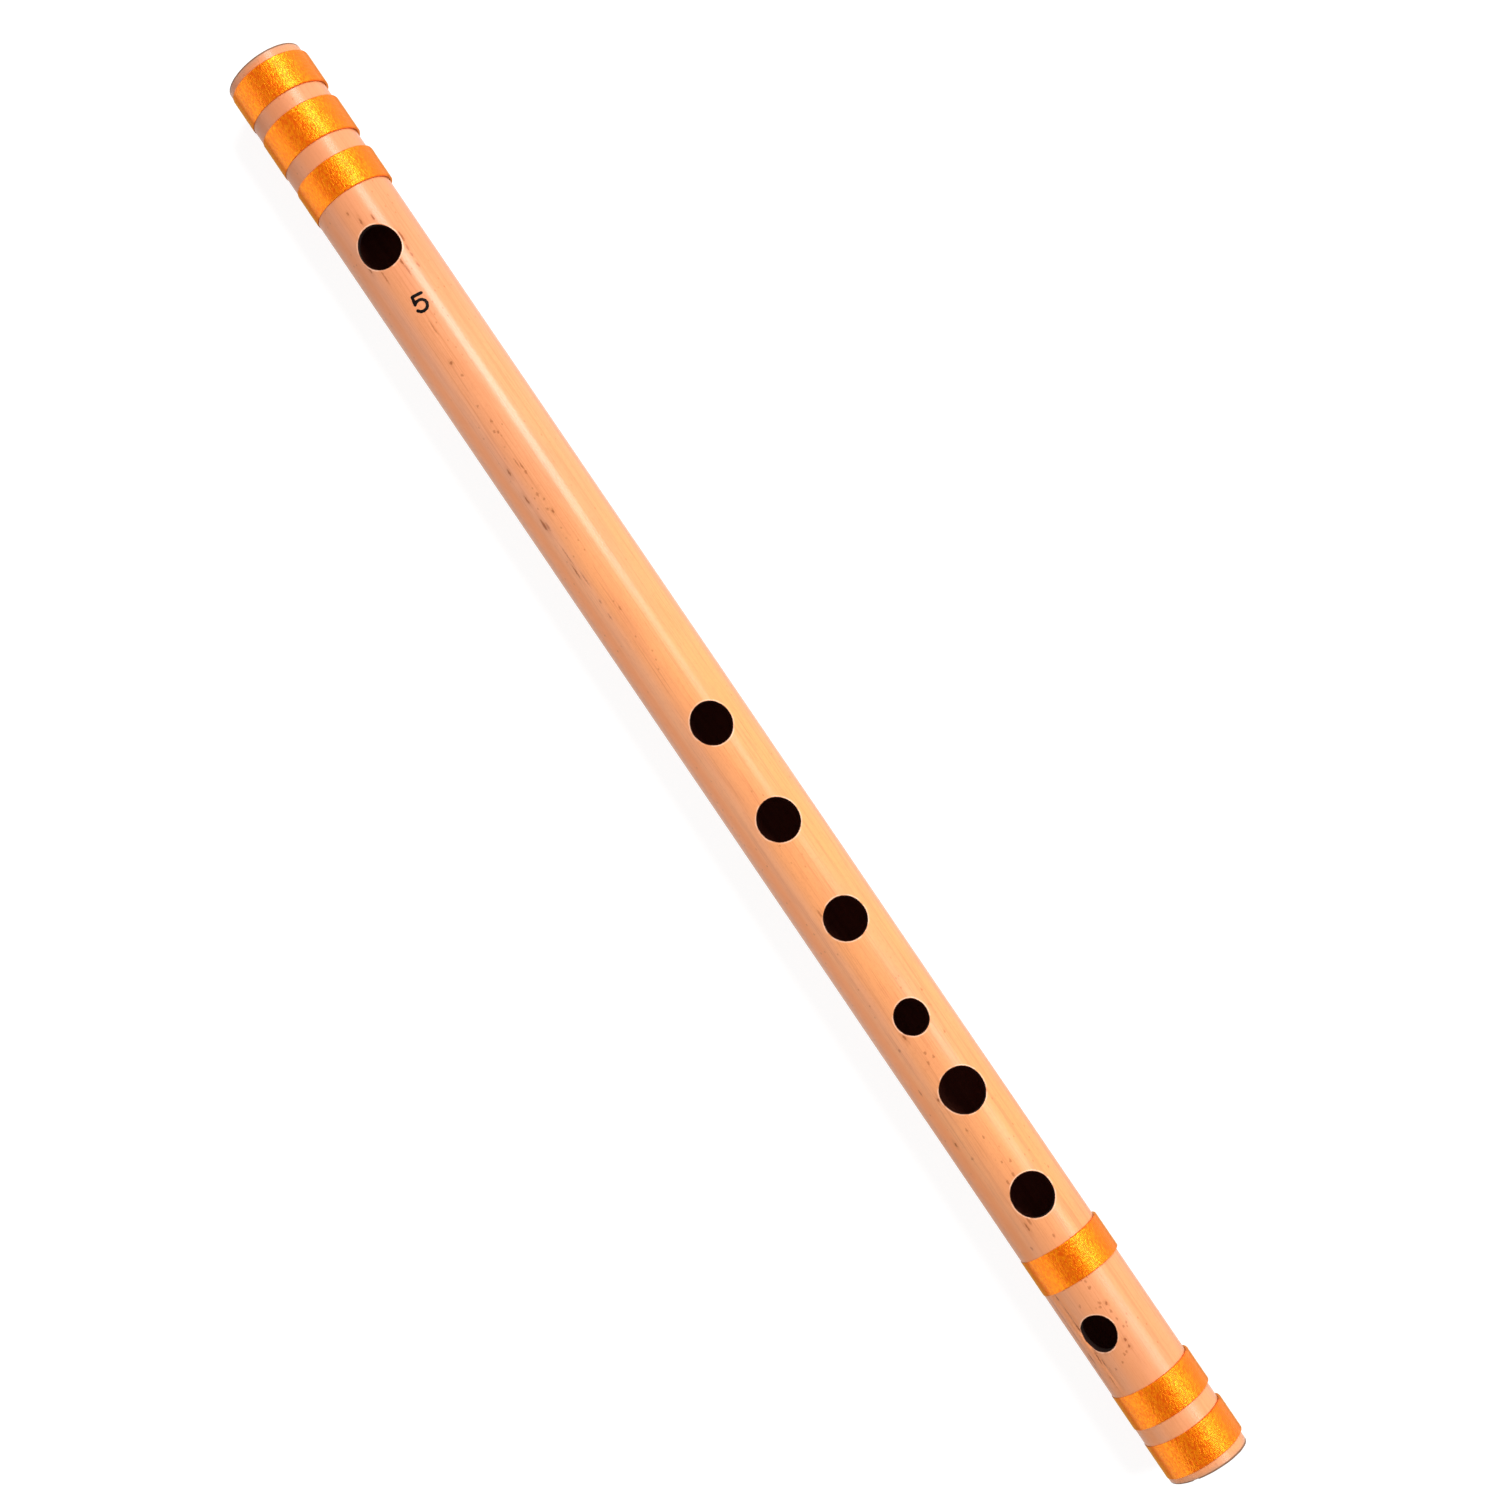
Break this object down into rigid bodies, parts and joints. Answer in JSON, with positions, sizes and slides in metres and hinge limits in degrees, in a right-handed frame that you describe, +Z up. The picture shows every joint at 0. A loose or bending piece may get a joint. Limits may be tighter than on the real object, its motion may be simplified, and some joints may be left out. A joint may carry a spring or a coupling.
{
  "type": "bansuri",
  "caption": "Side-blown bamboo flute with a blow hole, finger holes, a low vent hole, a cork stopper inside its head and thread bindings near both ends.",
  "frame": {"origin": "on the surface that the flute lies on, under the middle of the tube's length", "axes": "+X along the tube from the stopped head end to the open foot end, +Y across the tube, +Z up, the way the holes face"},
  "size_m": [0.4, 0.0214, 0.0214],
  "materials": {
    "bamboo": "smooth bamboo skin with a thin clear oil finish",
    "cork": "bare natural cork",
    "thread": "silky orange thread, wound close"
  },
  "bodies": {
    "flute": {"bamboo_tube": "bamboo", "head_binding_outer": "thread", "head_binding_middle": "thread", "head_binding_inner": "thread", "vent_binding": "thread", "foot_binding_inner": "thread", "foot_binding_outer": "thread"},
    "stopper": {"cork_stopper": "cork"}
  },
  "joints": [
    {"name": "stopper_slide", "type": "slide", "parent": "flute", "child": "stopper", "axis": [1, 0, 0], "range_m": [-0.003, 0.003]}
  ]
}
